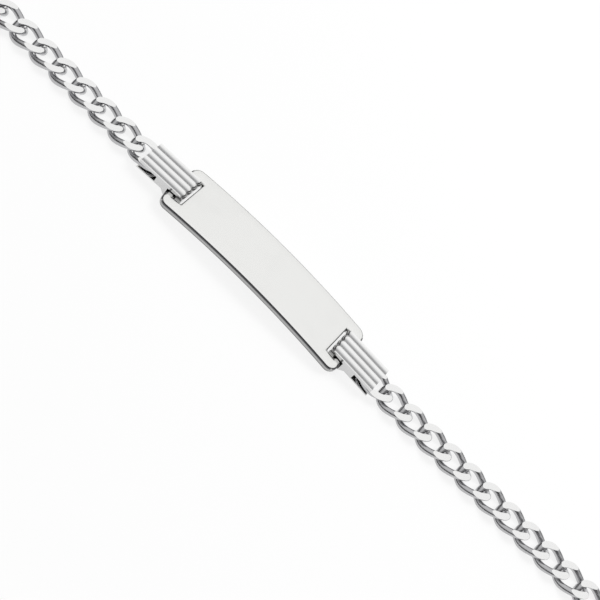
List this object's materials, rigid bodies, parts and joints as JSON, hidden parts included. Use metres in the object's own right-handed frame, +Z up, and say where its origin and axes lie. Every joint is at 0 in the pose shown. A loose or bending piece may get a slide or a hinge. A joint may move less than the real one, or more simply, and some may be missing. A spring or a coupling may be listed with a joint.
{
  "type": "identification bracelet",
  "caption": "Identification bracelet with a bowed rectangular plate, ribbed connectors, a flat curb chain and a plain box clasp, lying as a closed loop.",
  "frame": {"origin": "on the table under the middle of the whole loop", "axes": "+X along the plate towards its right end, +Y from the clasp towards the plate, +Z up"},
  "size_m": [0.0922, 0.0434, 0.0019],
  "materials": {
    "plate": "polished silver",
    "connector": "polished silver",
    "chain": "polished silver",
    "clasp": "polished silver"
  },
  "bodies": {
    "root": {"plate": "plate", "connector_left": "connector", "connector_right": "connector", "chain_left": "chain", "chain_right": "chain", "clasp": "clasp"}
  },
  "joints": []
}
